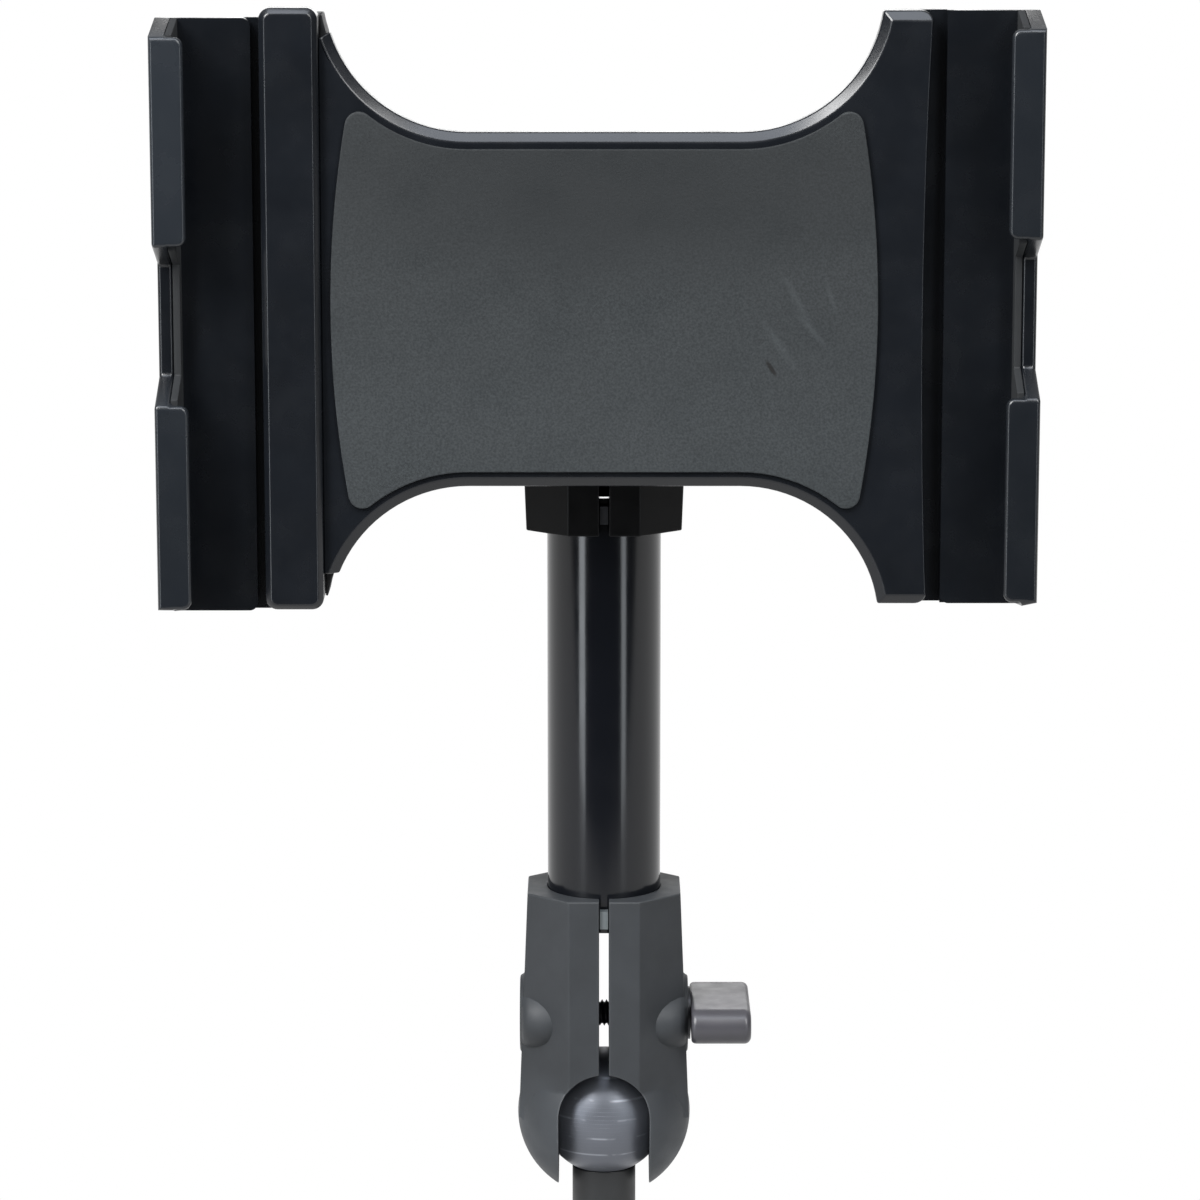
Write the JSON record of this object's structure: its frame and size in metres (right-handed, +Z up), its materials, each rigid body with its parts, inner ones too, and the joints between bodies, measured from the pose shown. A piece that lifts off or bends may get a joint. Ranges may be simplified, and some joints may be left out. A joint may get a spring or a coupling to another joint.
{
  "type": "tablet holder",
  "caption": "Tablet cradle with a sliding jaw on a tube arm that has a clamped ball joint at each end.",
  "frame": {"origin": "mouth of the threaded hole in the foot of the post, on the post's axis", "axes": "+Z up along the arm, +X to the right of the cradle as seen from the user, -Y towards the user"},
  "size_m": [0.1859, 0.0726, 0.2788],
  "materials": {
    "cradle_plastic": "satin black moulded plastic",
    "cover_plastic": "fine-textured black moulded plastic",
    "pad_rubber": "fine-grained dark grey rubber",
    "liner_rubber": "matt black rubber",
    "tube_coat": "satin black coating",
    "clamp_metal": "matt dark grey coating on cast metal",
    "ball_metal": "turned metal with a dark finish",
    "stem_metal": "matt grey metal",
    "knob_plastic": "dark grey moulded plastic",
    "screw_steel": "zinc-plated steel",
    "rod_steel": "ground steel"
  },
  "bodies": {
    "post": {"post": "stem_metal"},
    "lower_ball": {"lower_ball": "ball_metal"},
    "arm": {"lower_clamp_left": "clamp_metal", "lower_nut": "screw_steel", "arm_tube": "tube_coat", "lower_keys": "clamp_metal", "upper_keys": "clamp_metal", "upper_clamp_left": "clamp_metal", "upper_nut": "screw_steel"},
    "lower_half": {"lower_clamp_right": "clamp_metal", "lower_washer": "screw_steel"},
    "lower_knob": {"lower_knob": "knob_plastic"},
    "upper_half": {"upper_clamp_right": "clamp_metal", "upper_washer": "screw_steel"},
    "upper_knob": {"upper_knob": "knob_plastic"},
    "upper_ball": {"upper_ball": "ball_metal"},
    "cradle": {"ball_plate": "stem_metal", "plate_screws": "screw_steel", "base": "cradle_plastic", "grip_pad": "pad_rubber", "rear_cover": "cover_plastic", "cover_screws": "screw_steel", "end_cap": "cradle_plastic", "end_cap_screws": "screw_steel", "right_jaw": "cradle_plastic", "right_liner": "liner_rubber", "right_jaw_screws": "screw_steel", "jaw_springs": "rod_steel", "spring_posts": "rod_steel"},
    "left_jaw": {"left_jaw": "cradle_plastic", "left_liner": "liner_rubber", "guide_rods": "rod_steel"}
  },
  "joints": [
    {"name": "arm_swivel", "type": "hinge", "parent": "post", "child": "lower_ball", "pos_m": [0, 0, 0.026], "axis": [0, 0, 1], "continuous": true},
    {"name": "arm_tilt", "type": "hinge", "parent": "lower_ball", "child": "arm", "pos_m": [0, 0, 0.026], "axis": [1, 0, 0], "range_deg": [-90, 90]},
    {"name": "lower_clamp_open", "type": "slide", "parent": "arm", "child": "lower_half", "axis": [1, 0, 0], "range_m": [0, 0.001]},
    {"name": "lower_knob_turn", "type": "hinge", "parent": "lower_half", "child": "lower_knob", "pos_m": [0, 0, 0.049], "axis": [1, 0, 0], "range_deg": [0, 360]},
    {"name": "upper_clamp_open", "type": "slide", "parent": "arm", "child": "upper_half", "axis": [1, 0, 0], "range_m": [0, 0.001]},
    {"name": "upper_knob_turn", "type": "hinge", "parent": "upper_half", "child": "upper_knob", "pos_m": [0, 0, 0.1918], "axis": [1, 0, 0], "range_deg": [0, 360]},
    {"name": "cradle_tilt", "type": "hinge", "parent": "arm", "child": "upper_ball", "pos_m": [0, 0, 0.2148], "axis": [-1, 0, 0], "range_deg": [-8, 188]},
    {"name": "cradle_spin", "type": "hinge", "parent": "upper_ball", "child": "cradle", "pos_m": [0, 0, 0.2148], "axis": [0, -1, 0], "continuous": true},
    {"name": "jaw_slide", "type": "slide", "parent": "cradle", "child": "left_jaw", "axis": [-1, 0, 0], "range_m": [0, 0.06], "stiffness_N_per_m": 120, "springref_m": -0.05, "deforming": ["jaw_springs"]}
  ],
  "couplings": [
    {"joint": "lower_knob_turn", "follows": "lower_clamp_open", "rad_per_m": 6283.2},
    {"joint": "upper_knob_turn", "follows": "upper_clamp_open", "rad_per_m": 6283.2}
  ]
}
